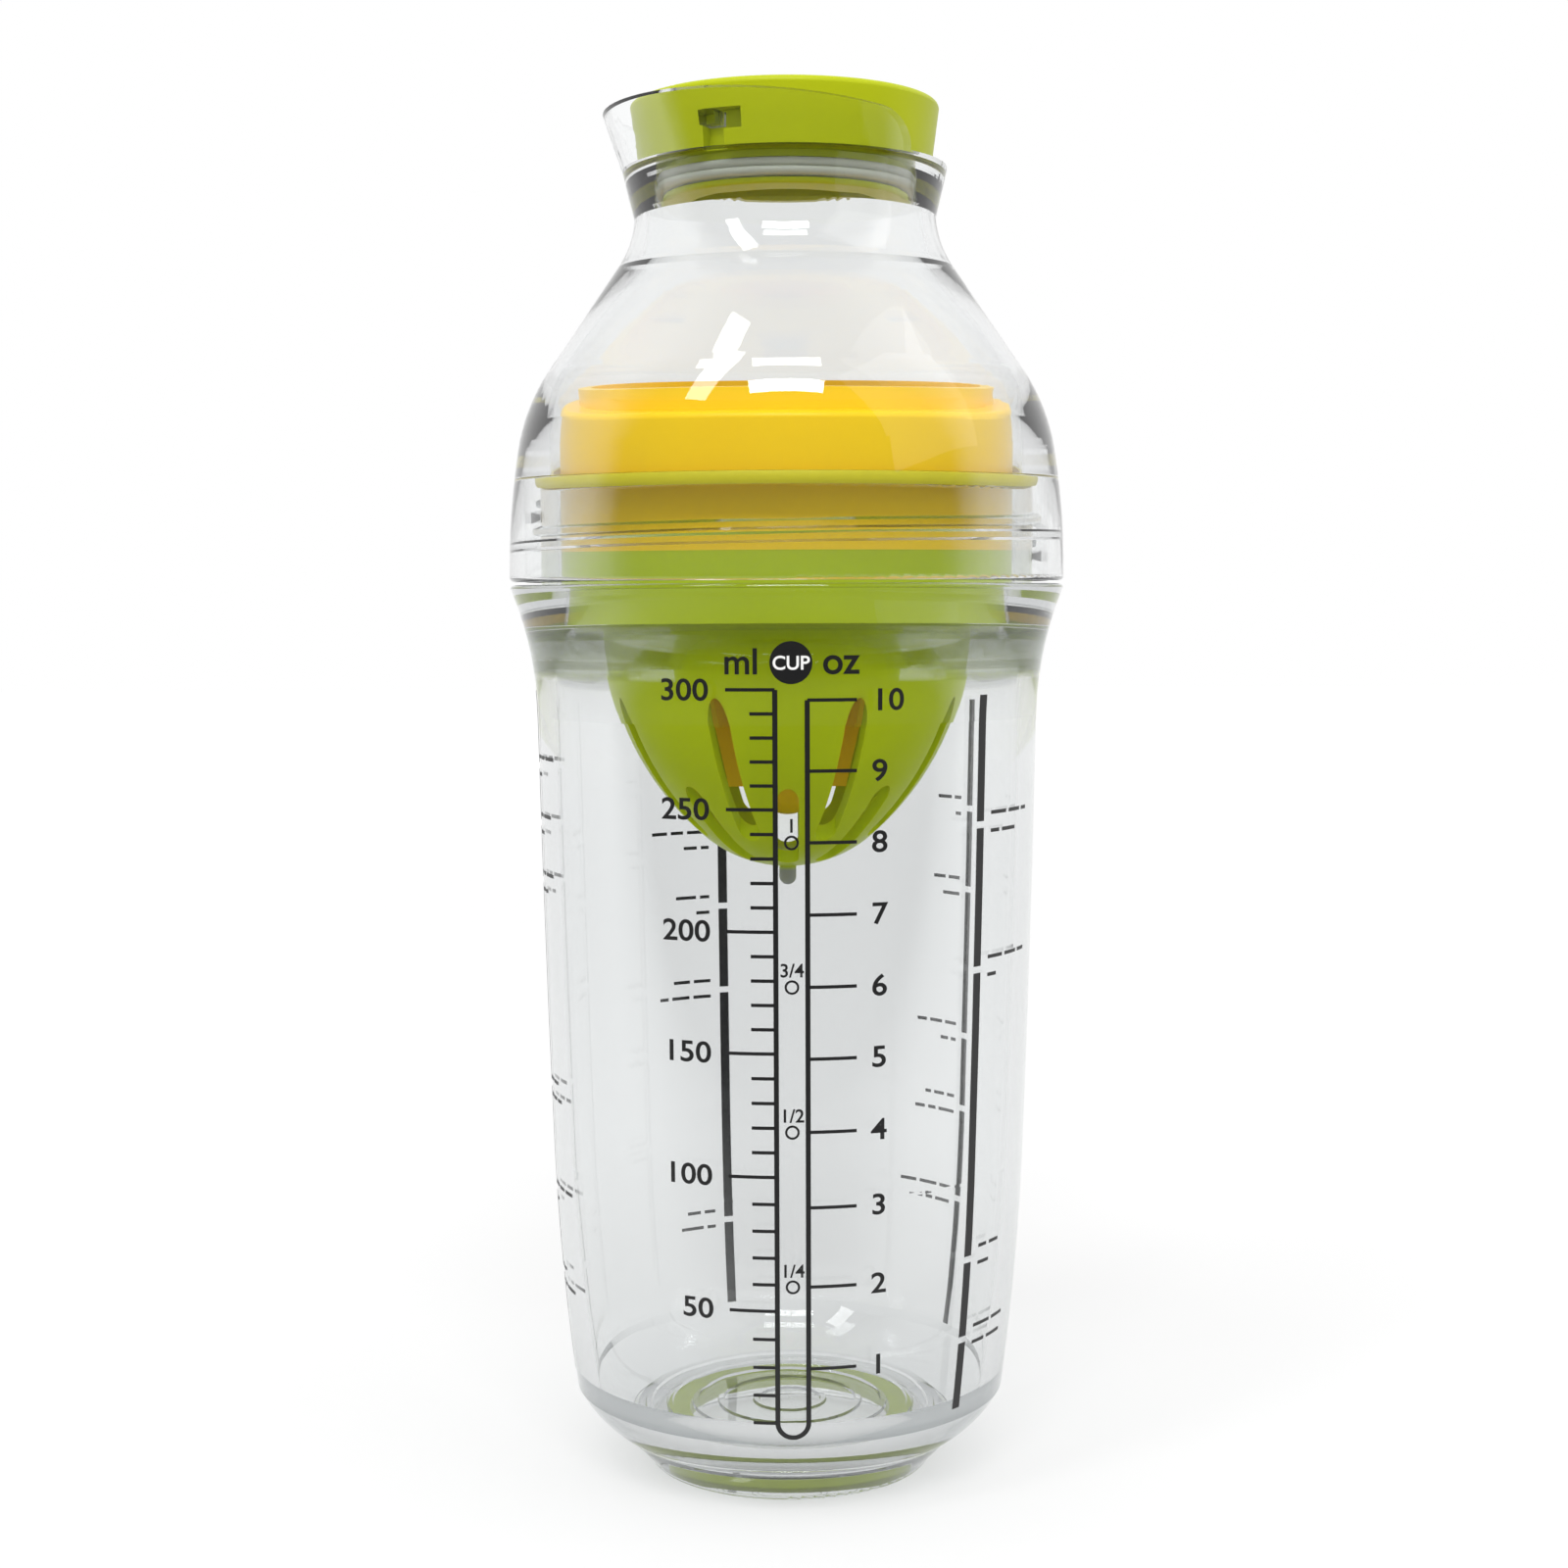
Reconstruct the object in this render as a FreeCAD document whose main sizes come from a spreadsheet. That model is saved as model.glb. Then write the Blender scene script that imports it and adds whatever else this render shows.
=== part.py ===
"""Shaker bottle for salad dressing, in millimetres.

A clear container with a screwed pouring top and a plug lid. A strainer bowl stands on a shelf in
the neck and a citrus reamer is stored upside down on the strainer. The origin is the centre of
the foot on the table, Z is up, the front faces -Y and the spout leans towards -X.
"""
import FreeCAD, Part
import os
import Sketcher

SIZES = {
    # Foot ring and the pad under it.
    "foot_height": 5.0,
    "foot_inset": 6.2,
    "foot_flare": 4.1,
    "foot_ring_width": 2.3,
    "foot_round": 0.6,
    "pad_gap": 0.2,
    "pad_seat_height": 5.2,
    "pad_width": 3.2,
    "pad_thickness": 2.5,
    "pad_round": 0.6,
    # Container wall. A bulge is how far an arc swells from the straight line between its ends.
    "wall": 2.4,
    "floor_thickness": 2.6,
    "belly_corner_width": 6.05,
    "belly_corner_height": 6.54,
    "belly_corner_bulge": 0.593,
    "waist_taper": 2.74,
    "waist_rise": 40.0,
    "wall_low_bulge": 0.38,
    "wall_taper": 1.45,
    "wall_rise": 62.0,
    "wall_high_bulge": 0.135,
    "flare_width": 3.5,
    "flare_rise": 17.9,
    "flare_bulge": 0.82,
    "shoulder_overhang": 4.25,
    "shoulder_round": 0.5,
    "floor_ring_width": 1.4,
    "floor_ring_height": 0.35,
    # Neck of the container and its screw thread.
    "neck_radius": 34.0,
    "neck_wall": 2.3,
    "neck_rise": 12.15,
    "rim_round": 0.4,
    "shelf_drop": 4.5,
    "shelf_width": 1.6,
    "shelf_thickness": 2.0,
    "shelf_slope": 4.4,
    "thread_pitch": 3.2,
    "thread_drop": 7.25,
    "thread_reach": 1.2,
    "thread_root": 1.5,
    "thread_crest": 0.7,
    "thread_sink": 0.3,
    "thread_room": 2.2,
    # Strainer.
    "insert_gap": 0.5,
    "strainer_wall": 1.6,
    "strainer_rim_height": 8.6,
    "bowl_step": 5.6,
    "bowl_depth": 34.7,
    "bowl_side_bulge": 3.63,
    "slot_width": 3.0,
    "nub_radius": 1.2,
    "nub_length": 2.7,
    # Reamer.
    "reamer_wall": 1.8,
    "reamer_rise": 7.0,
    "reamer_round": 0.8,
    "spigot_inset": 2.7,
    "spigot_height": 3.0,
    "dish_width": 13.0,
    "cone_end_radius": 4.0,
    "cone_tip_length": 4.0,
    "cone_tip_gap": 5.6,
    "rib_base_reach": 3.5,
    "long_rib_reach": 4.2,
    "short_rib_reach": 5.13,
    "rib_thickness": 2.0,
    "drain_start_gap": 1.6,
    "drain_end_gap": 0.9,
    "drain_width": 2.6,
    # Gasket.
    "gasket_gap": 0.5,
    "gasket_overhang": 0.5,
    "gasket_thickness": 1.65,
    "gasket_bulge": 0.2,
    # Pouring top.
    "top_wall": 2.2,
    "skirt_overhang": 0.1,
    "skirt_gap": 0.4,
    "skirt_round": 0.7,
    "cap_thread_reach": 1.6,
    "seat_gap": 0.4,
    "seat_rise": 3.0,
    "dome_low_inset": 1.41,
    "dome_low_rise": 4.3,
    "dome_low_bulge": 0.341,
    "dome_mid_inset": 4.2,
    "dome_mid_rise": 10.6,
    "dome_mid_bulge": 0.622,
    "dome_high_spread": 2.27,
    "dome_high_rise": 14.3,
    "dome_high_bulge": 0.568,
    "dome_inner_low_bulge": 0.433,
    "dome_inner_mid_bulge": 0.285,
    "dome_inner_high_bulge": 0.81,
    "spout_bore": 18.7,
    "spout_wall": 1.85,
    "spout_rise": 7.5,
    "flange_width": 3.1,
    "flange_rise": 5.6,
    # Spout collar, a leaning ring that grows out of the neck and is open on one side.
    "collar_low_drop": 2.0,
    "collar_low_inset": 0.18,
    "collar_low_lean": 0.05,
    "collar_mid_drop": 0.4,
    "collar_mid_spread": 0.3,
    "collar_mid_lean": 0.1,
    "collar_top_rise": 8.4,
    "collar_top_spread": 2.1,
    "collar_top_lean": 1.35,
    "collar_wall": 1.3,
    "collar_lip_rise": 7.0,
    "collar_lip_bulge": 0.75,
    "collar_bend_rise": 5.0,
    "collar_end_bulge": 1.3,
    # Locking lug inside the collar.
    "lug_width": 2.2,
    "lug_lift": 2.6,
    "lug_height": 1.8,
    # Lid.
    "lid_overlap": 1.2,
    "lid_flare": 1.0,
    "lid_height": 8.5,
    "lid_rim_width": 3.4,
    "lid_round": 0.8,
    "lid_plate": 2.0,
    "dish_slope": 1.2,
    "dish_depth": 0.5,
    "plug_gap": 1.1,
    "plug_wall": 3.0,
    "plug_end": 0.7,
    "plug_round": 0.5,
    "lock_gap": 0.4,
    "lock_travel": 2.4,
    # Seal of the lid.
    "groove_depth": 1.3,
    "groove_drop": 0.9,
    "groove_height": 2.6,
    "seal_end_gap": 0.2,
    "seal_side_gap": 0.3,
    "seal_bead": 0.4,
    # How far a cutting shape runs past the surface it cuts.
    "overrun": 2.0,
}

THREAD_TURNS = 1.5
SLOT_COUNT = 8
RIB_COUNT = 6
DRAIN_COUNT = 12
HALF_TURN = 180
LUG_TURN = -117

quarter_bulge_share = 0.293
round_end_share = 0.4
floor_ring_shares = (0.22, 0.45, 0.62, 0.79, 0.93)
floor_ring_top_share = 0.5
bowl_turn_shares = (0.461, 0.1268)
bowl_normal_shares = (0.655, 0.756)
bowl_inner_bulge_share = 0.96
dome_normal_shares = (0.829, 0.559)
short_rib_share = 0.82
# Where a slot starts and ends across the bowl, and how far down the bowl it is cut from.
short_slot_shares = (0.2344, 0.7305, 0.5476)
long_slot_shares = (0.4688, 0.9531, 0.2421)
# Where the collar's cut edge bends down and where it ends, across the cut.
collar_bend_share = 0.4554
collar_end_share = 0.6011


class Size:
    """A length together with the sheet formula that gives it."""

    def __init__(self, value, formula):
        self.value = value
        self.formula = formula

    def __add__(self, other):
        return Size(self.value + other.value, f"({self.formula} + {other.formula})")

    def __sub__(self, other):
        return Size(self.value - other.value, f"({self.formula} - {other.formula})")

    def __mul__(self, share):
        return Size(self.value * share, f"({self.formula} * {share})")

    def __truediv__(self, count):
        return Size(self.value / count, f"({self.formula} / {count})")

    def __neg__(self):
        return Size(-self.value, f"(-{self.formula})")


class Sheet:
    """The spreadsheet of named sizes, read as attributes."""

    def __init__(self, doc):
        self.cells = doc.addObject("Spreadsheet::Sheet", "sizes")
        for row, (name, value) in enumerate(SIZES.items(), start=1):
            self.cells.set(f"A{row}", name)
            self.cells.set(f"B{row}", str(value))
            self.cells.setAlias(f"B{row}", name)
        doc.recompute()
        for name in SIZES:
            setattr(self, name, Size(float(self.cells.get(name)), f"sizes.{name}"))


NONE = Size(0.0, "0")
POLE = "pole"
doc = FreeCAD.newDocument("shaker_bottle")
size = Sheet(doc)


def new_body(label):
    body = doc.addObject("PartDesign::Body", label)
    body.Label = label
    body.Placement = FreeCAD.Placement()
    return body


def origin_part(body, role):
    return next(item for item in body.Origin.OriginFeatures if item.Role == role)


def new_sketch(body, name, plane="XZ_Plane", turn=0, lift=NONE):
    """A sketch on one of the body's own planes, turned about the upright axis or lifted."""
    sketch = body.newObject("Sketcher::SketchObject", name)
    sketch.AttachmentSupport = [(origin_part(body, plane), "")]
    sketch.MapMode = "FlatFace"
    upright = FreeCAD.Vector(0, 1, 0) if plane == "XZ_Plane" else FreeCAD.Vector(0, 0, 1)
    spin = FreeCAD.Rotation(upright, turn)
    sketch.AttachmentOffset = FreeCAD.Placement(FreeCAD.Vector(0, 0, lift.value), spin)
    if lift is not NONE:
        sketch.setExpression("AttachmentOffset.Base.z", lift.formula)
    return sketch


def bind(sketch, constraint, size):
    index = sketch.addConstraint(constraint)
    sketch.setExpression(f"Constraints[{index}]", size.formula)


def tie(sketch, edge, end, point):
    """Hold one end of an edge at a place given by two named sizes."""
    for kind, axis, place in (("DistanceX", -2, point[0]), ("DistanceY", -1, point[1])):
        if place is NONE:
            sketch.addConstraint(Sketcher.Constraint("PointOnObject", edge, end, axis))
        else:
            bind(sketch, Sketcher.Constraint(kind, -1, 1, edge, end, place.value), place)


def arc_radius(start, end, bulge):
    across = end[0] - start[0]
    along = end[1] - start[1]
    chord = across.value ** 2 + along.value ** 2
    value = chord / (8 * abs(bulge.value)) + abs(bulge.value) / 2
    formula = f"({across.formula} ^ 2 + {along.formula} ^ 2) / (8 * abs({bulge.formula}))"
    return Size(value, f"{formula} + abs({bulge.formula}) / 2")


def pole_centre(start, end):
    """Where a circle through both points has its centre when that lies on the upright axis."""
    height = (end.x ** 2 + end.y ** 2 - start.x ** 2 - start.y ** 2) / (2 * (end.y - start.y))
    return FreeCAD.Vector(0, height, 0)


def join(sketch, before, after):
    """Make the last end of one edge meet the first end of the next."""
    sketch.addConstraint(Sketcher.Constraint("Coincident", before[0], before[2], after[0], after[1]))


def draw_loop(sketch, points):
    """Draw a closed outline through the points.

    A point with a third value is reached by an arc with that bulge, which swells to the right of
    the way the outline runs when it is positive. POLE instead of a bulge puts the centre of the
    arc on the upright axis. The last edge runs back to the first point.
    """
    edges = []
    for here, there in zip(points, points[1:] + points[:1]):
        start = FreeCAD.Vector(here[0].value, here[1].value, 0)
        end = FreeCAD.Vector(there[0].value, there[1].value, 0)
        middle = (start + end) / 2
        if len(there) == 2:
            edge = sketch.addGeometry(Part.LineSegment(start, end))
        elif there[2] is POLE:
            centre = pole_centre(start, end)
            spoke = (middle - centre).normalize() * centre.distanceToPoint(start)
            edge = sketch.addGeometry(Part.Arc(start, centre + spoke, end))
        else:
            run = end - start
            aside = FreeCAD.Vector(run.y, -run.x, 0).normalize() * there[2].value
            edge = sketch.addGeometry(Part.Arc(start, middle + aside, end))
        near = sketch.getPoint(edge, 1).distanceToPoint(start)
        far = sketch.getPoint(edge, 2).distanceToPoint(start)
        first, last = (1, 2) if near < far else (2, 1)
        if edges:
            join(sketch, edges[-1], (edge, first))
        edges.append((edge, first, last))
        tie(sketch, edge, first, here)
        if len(there) == 3 and there[2] is POLE:
            sketch.addConstraint(Sketcher.Constraint("PointOnObject", edge, 3, -2))
        elif len(there) == 3:
            radius = arc_radius(here, there, there[2])
            bind(sketch, Sketcher.Constraint("Radius", edge, radius.value), radius)
    join(sketch, edges[-1], edges[0])


def draw_circle(sketch, lean, radius):
    centre = FreeCAD.Vector(lean.value, 0, 0)
    edge = sketch.addGeometry(Part.Circle(centre, FreeCAD.Vector(0, 0, 1), radius.value))
    tie(sketch, edge, 3, (lean, NONE))
    bind(sketch, Sketcher.Constraint("Radius", edge, radius.value), radius)


def quarter(radius):
    return radius * quarter_bulge_share


def draw_pill(sketch, start, end, width):
    """A slot outline along the sketch's X axis with rounded ends inside its length."""
    half = width / 2
    bulge = width * round_end_share
    draw_loop(sketch, [
        (start + bulge, -half, bulge),
        (end - bulge, -half),
        (end - bulge, half, bulge),
        (start + bulge, half),
    ])


def add_feature(body, kind, name, sketch):
    feature = body.newObject(f"PartDesign::{kind}", name)
    feature.Profile = sketch
    return feature


def revolve(body, name, *loops):
    sketch = new_sketch(body, f"{name}_outline")
    for loop in loops:
        draw_loop(sketch, loop)
    feature = add_feature(body, "Revolution", name, sketch)
    feature.ReferenceAxis = (sketch, ["V_Axis"])
    doc.recompute()
    return feature


def thread(body, name, root, crest, height):
    """A right-handed ridge from a root radius to a crest radius, starting at a height."""
    sketch = new_sketch(body, f"{name}_outline")
    draw_loop(sketch, [
        (root, height - size.thread_root / 2),
        (crest, height - size.thread_crest / 2),
        (crest, height + size.thread_crest / 2),
        (root, height + size.thread_root / 2),
    ])
    feature = add_feature(body, "AdditiveHelix", name, sketch)
    feature.ReferenceAxis = (sketch, ["V_Axis"])
    feature.Mode = "pitch-turns-angle"
    feature.setExpression("Pitch", size.thread_pitch.formula)
    feature.Turns = THREAD_TURNS
    doc.recompute()


def extrude(body, kind, name, sketch, length, side="Symmetric", backward=False):
    feature = add_feature(body, kind, name, sketch)
    feature.Type = "Length"
    feature.SideType = side
    feature.Reversed = backward
    feature.setExpression("Length", length.formula)
    doc.recompute()
    return feature


def repeat(body, feature, count):
    pattern = body.newObject("PartDesign::PolarPattern", f"{feature.Name}_ring")
    pattern.Originals = [feature]
    pattern.Axis = (origin_part(body, "Z_Axis"), [""])
    pattern.Angle = 2 * HALF_TURN
    pattern.Occurrences = count
    body.Tip = pattern
    doc.recompute()


# Radii of the container, from its neck down to its foot.
neck_bore = size.neck_radius - size.neck_wall
insert_radius = neck_bore - size.insert_gap
shelf_bore = neck_bore - size.shelf_width
shoulder_radius = size.neck_radius + size.shoulder_overhang
wall_top_radius = shoulder_radius - size.flare_width
waist_radius = wall_top_radius - size.wall_taper
belly_radius = waist_radius - size.waist_taper
inner_top_radius = wall_top_radius - size.wall
inner_belly_radius = belly_radius - size.wall
floor_radius = inner_belly_radius - size.belly_corner_width
foot_flare_radius = belly_radius - size.foot_inset
foot_radius = foot_flare_radius - size.foot_flare
pad_bore = foot_radius - size.foot_ring_width
pad_radius = pad_bore - size.pad_gap
pad_inner_radius = pad_radius - size.pad_width

# Heights, from the foot up to the lid's seat.
floor_height = size.pad_seat_height + size.floor_thickness
waist_height = size.foot_height + size.waist_rise
wall_top = waist_height + size.wall_rise
shoulder_height = wall_top + size.flare_rise
shelf_height = shoulder_height - size.shelf_drop
shelf_low = shelf_height - size.shelf_thickness
strainer_top = shelf_height + size.strainer_rim_height
apex = shelf_height - size.bowl_depth
rim_height = shoulder_height + size.neck_rise
ledge = rim_height + size.gasket_thickness
ring_top = ledge + size.reamer_rise
dome_low = ledge + size.dome_low_rise
dome_mid = dome_low + size.dome_mid_rise
dome_high = dome_mid + size.dome_high_rise
spout_height = dome_high + size.spout_rise
flange_top = spout_height + size.flange_rise

# Radii that pieces share where they meet in the neck and in the spout.
skirt_bore = size.neck_radius + size.thread_room
gasket_bore = neck_bore + size.gasket_gap
flange_radius = size.spout_bore + size.flange_width
collar_top_radius = flange_radius + size.collar_top_spread
collar_top_bore = collar_top_radius - size.collar_wall
lid_low_radius = size.spout_bore + size.lid_overlap
plug_radius = size.spout_bore - size.plug_gap
groove_radius = plug_radius - size.groove_depth
groove_top = flange_top - size.groove_drop
groove_low = groove_top - size.groove_height
neck_thread_height = rim_height - size.thread_drop
cap_thread_height = neck_thread_height - size.thread_pitch / 2

# Container.
container = new_body("container")
revolve(container, "cup", [
    (NONE, size.pad_seat_height),
    (pad_bore, size.pad_seat_height),
    (pad_bore, NONE),
    (foot_radius - size.foot_round, NONE),
    (foot_radius, size.foot_round, quarter(size.foot_round)),
    (foot_flare_radius, size.foot_height),
    (belly_radius - size.belly_corner_width, size.foot_height),
    (belly_radius, size.foot_height + size.belly_corner_height, size.belly_corner_bulge),
    (waist_radius, waist_height, size.wall_low_bulge),
    (wall_top_radius, wall_top, size.wall_high_bulge),
    (shoulder_radius, shoulder_height - size.shoulder_round, -size.flare_bulge),
    (shoulder_radius - size.shoulder_round, shoulder_height, quarter(size.shoulder_round)),
    (size.neck_radius, shoulder_height),
    (size.neck_radius, rim_height - size.rim_round),
    (size.neck_radius - size.rim_round, rim_height, quarter(size.rim_round)),
    (neck_bore, rim_height),
    (neck_bore, shelf_height),
    (shelf_bore, shelf_height),
    (shelf_bore, shelf_low),
    (inner_top_radius, shelf_low - size.shelf_slope),
    (inner_top_radius, wall_top),
    (waist_radius - size.wall, waist_height, -size.wall_high_bulge),
    (inner_belly_radius, floor_height + size.belly_corner_height, -size.wall_low_bulge),
    (floor_radius, floor_height, -size.belly_corner_bulge),
    (NONE, floor_height),
])
half_ring = size.floor_ring_width / 2
half_crest = half_ring * floor_ring_top_share
ring_low = floor_height - size.floor_ring_height
ring_high = floor_height + size.floor_ring_height
ring_radii = [floor_radius * share for share in floor_ring_shares]
revolve(container, "floor_rings", *[[
    (radius - half_ring, ring_low),
    (radius + half_ring, ring_low),
    (radius + half_crest, ring_high),
    (radius - half_crest, ring_high),
] for radius in ring_radii])
neck_thread_root = size.neck_radius - size.thread_sink
neck_thread_crest = size.neck_radius + size.thread_reach
thread(container, "neck_thread", neck_thread_root, neck_thread_crest, neck_thread_height)

# Pad under the foot.
base_pad = new_body("base_pad")
pad_low = size.pad_seat_height - size.pad_thickness
revolve(base_pad, "ring", [
    (pad_inner_radius, pad_low),
    (pad_radius - size.pad_round, pad_low),
    (pad_radius, pad_low + size.pad_round, quarter(size.pad_round)),
    (pad_radius, size.pad_seat_height),
    (pad_inner_radius, size.pad_seat_height),
])

# Strainer.
strainer = new_body("strainer")
bowl_radius = insert_radius - size.bowl_step
turn_radius = bowl_radius * bowl_turn_shares[0]
turn_height = apex + size.bowl_depth * bowl_turn_shares[1]
inner_turn_radius = turn_radius - size.strainer_wall * bowl_normal_shares[0]
inner_turn_height = turn_height + size.strainer_wall * bowl_normal_shares[1]
step_top = shelf_height + size.strainer_wall
revolve(strainer, "bowl", [
    (NONE, apex),
    (turn_radius, turn_height, POLE),
    (bowl_radius, shelf_height, size.bowl_side_bulge),
    (insert_radius, shelf_height),
    (insert_radius, strainer_top),
    (insert_radius - size.strainer_wall, strainer_top),
    (insert_radius - size.strainer_wall, step_top),
    (bowl_radius - size.strainer_wall, step_top),
    (bowl_radius - size.strainer_wall, shelf_height),
    (inner_turn_radius, inner_turn_height, -size.bowl_side_bulge * bowl_inner_bulge_share),
    (NONE, apex + size.strainer_wall, POLE),
])
nub_low = apex - size.nub_length
revolve(strainer, "nub", [
    (NONE, nub_low),
    (size.nub_radius, nub_low + size.nub_radius, POLE),
    (size.nub_radius, apex + size.strainer_wall / 2),
    (NONE, apex + size.strainer_wall / 2),
])
front = -HALF_TURN / 2
half_step = HALF_TURN / SLOT_COUNT
slot_kinds = (
    ("short_slot", front, short_slot_shares),
    ("long_slot", front + half_step, long_slot_shares),
)
for name, turn, (start_share, end_share, drop_share) in slot_kinds:
    drop = size.bowl_depth * drop_share
    plan = new_sketch(strainer, f"{name}_plan", "XY_Plane", turn, shelf_height - drop)
    draw_pill(plan, bowl_radius * start_share, bowl_radius * end_share, size.slot_width)
    slot = extrude(strainer, "Pocket", name, plan, size.bowl_depth - drop + size.overrun, "One side")
    repeat(strainer, slot, SLOT_COUNT)

# Reamer.
reamer = new_body("reamer")
plate_low = ring_top - size.reamer_wall
cone_tip = apex + size.strainer_wall + size.cone_tip_gap
cone_end = cone_tip + size.cone_tip_length
cone_length = plate_low - cone_end
ring_bore = insert_radius - size.reamer_wall
spigot_radius = insert_radius - size.spigot_inset
spigot_bore = spigot_radius - size.reamer_wall
spigot_top = ring_top + size.spigot_height
cone_base_radius = spigot_radius - size.dish_width
revolve(reamer, "dish", [
    (NONE, cone_tip),
    (size.cone_end_radius, cone_end, POLE),
    (cone_base_radius, plate_low),
    (ring_bore, plate_low),
    (ring_bore, strainer_top),
    (insert_radius, strainer_top),
    (insert_radius, ring_top - size.reamer_round),
    (insert_radius - size.reamer_round, ring_top, quarter(size.reamer_round)),
    (spigot_radius, ring_top),
    (spigot_radius, spigot_top),
    (spigot_bore, spigot_top),
    (spigot_bore, ring_top),
    (cone_base_radius - size.reamer_wall, ring_top),
    (size.cone_end_radius - size.reamer_wall, cone_end),
    (NONE, cone_end),
])
half_wall = size.reamer_wall / 2
cone_taper = cone_base_radius - size.cone_end_radius
rib_base_radius = cone_base_radius + size.rib_base_reach
short_rib_foot = cone_base_radius - cone_taper * short_rib_share
short_rib_end = plate_low - cone_length * short_rib_share
rib_kinds = (
    ("long_rib", 0, size.cone_end_radius, cone_end, size.long_rib_reach),
    ("short_rib", HALF_TURN / RIB_COUNT, short_rib_foot, short_rib_end, size.short_rib_reach),
)
for name, turn, foot, end, reach in rib_kinds:
    side = new_sketch(reamer, f"{name}_side", "XZ_Plane", turn)
    draw_loop(side, [
        (cone_base_radius - half_wall, plate_low + half_wall),
        (foot - half_wall, end),
        (foot + reach, end),
        (rib_base_radius, plate_low),
        (rib_base_radius, plate_low + half_wall),
    ])
    rib = extrude(reamer, "Pad", name, side, size.rib_thickness)
    repeat(reamer, rib, RIB_COUNT)
drain_plan = new_sketch(reamer, "drain_plan", "XY_Plane", 0, ring_top + size.overrun)
drain_start = rib_base_radius + size.drain_start_gap
draw_pill(drain_plan, drain_start, spigot_bore - size.drain_end_gap, size.drain_width)
drain = extrude(reamer, "Pocket", "drain", drain_plan, size.reamer_wall + size.overrun * 2, "One side")
repeat(reamer, drain, DRAIN_COUNT)

# Gasket.
gasket = new_body("gasket")
gasket_radius = size.neck_radius + size.gasket_overhang
revolve(gasket, "ring", [
    (gasket_bore, rim_height),
    (gasket_radius, rim_height),
    (gasket_radius, ledge, size.gasket_bulge),
    (gasket_bore, ledge),
])

# Pouring top.
pour_top = new_body("pour_top")
skirt_low = shoulder_height + size.skirt_gap
seat_bore = gasket_bore + size.seat_gap
skirt_radius = shoulder_radius + size.skirt_overhang
dome_low_radius = skirt_radius - size.dome_low_inset
dome_mid_radius = dome_low_radius - size.dome_mid_inset
spout_radius = size.spout_bore + size.spout_wall
dome_high_radius = spout_radius + size.dome_high_spread
wall_across = size.top_wall * dome_normal_shares[0]
wall_down = size.top_wall * dome_normal_shares[1]
revolve(pour_top, "dome", [
    (skirt_bore, skirt_low),
    (skirt_radius - size.skirt_round, skirt_low),
    (skirt_radius, skirt_low + size.skirt_round, quarter(size.skirt_round)),
    (dome_low_radius, dome_low, size.dome_low_bulge),
    (dome_mid_radius, dome_mid, size.dome_mid_bulge),
    (dome_high_radius, dome_high),
    (spout_radius, spout_height, -size.dome_high_bulge),
    (flange_radius, flange_top),
    (size.spout_bore, flange_top),
    (size.spout_bore, spout_height),
    (dome_high_radius - wall_across, dome_high - wall_down, size.dome_inner_high_bulge),
    (dome_mid_radius - wall_across, dome_mid - wall_down, -size.dome_inner_mid_bulge),
    (seat_bore, dome_low + size.seat_rise, -size.dome_inner_low_bulge),
    (seat_bore, ledge),
    (skirt_bore, ledge),
])
cap_thread_root = skirt_bore + size.thread_sink
cap_thread_crest = skirt_bore - size.cap_thread_reach
thread(pour_top, "cap_thread", cap_thread_root, cap_thread_crest, cap_thread_height)

collar_low_radius = spout_radius - size.collar_low_inset
collar_mid_radius = flange_radius + size.collar_mid_spread
collar_top = flange_top + size.collar_top_rise
collar_levels = (
    ("low", spout_height - size.collar_low_drop, size.collar_low_lean, collar_low_radius),
    ("mid", flange_top - size.collar_mid_drop, size.collar_mid_lean, collar_mid_radius),
    ("top", collar_top, size.collar_top_lean, collar_top_radius),
)
collar_sections = []
for level, height, lean, radius in collar_levels:
    section = new_sketch(pour_top, f"collar_{level}", "XY_Plane", 0, height)
    draw_circle(section, -lean, radius)
    draw_circle(section, -lean, radius - size.collar_wall)
    collar_sections.append(section)
collar = add_feature(pour_top, "AdditiveLoft", "collar", collar_sections[0])
collar.Sections = collar_sections[1:]
collar.Ruled = True
doc.recompute()
lip_side = new_sketch(pour_top, "lip_side")
lip_reach = collar_top_radius + size.collar_top_lean + size.overrun
above_lip = collar_top + size.overrun
draw_loop(lip_side, [
    (-lip_reach, flange_top + size.collar_lip_rise),
    (lip_reach * collar_bend_share, flange_top + size.collar_bend_rise, -size.collar_lip_bulge),
    (lip_reach * collar_end_share, flange_top, -size.collar_end_bulge),
    (lip_reach, flange_top),
    (lip_reach, above_lip),
    (-lip_reach, above_lip),
])
extrude(pour_top, "Pocket", "lip", lip_side, lip_reach * 2)
lug_side = new_sketch(pour_top, "lug_side", "XZ_Plane", LUG_TURN)
lug_low = flange_top + size.lug_lift
lug_top = lug_low + size.lug_height
draw_loop(lug_side, [
    (size.spout_bore, lug_low),
    (collar_top_bore, lug_low),
    (collar_top_bore, lug_top),
    (size.spout_bore, lug_top),
])
extrude(pour_top, "Pad", "lug", lug_side, size.lug_width)

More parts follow.
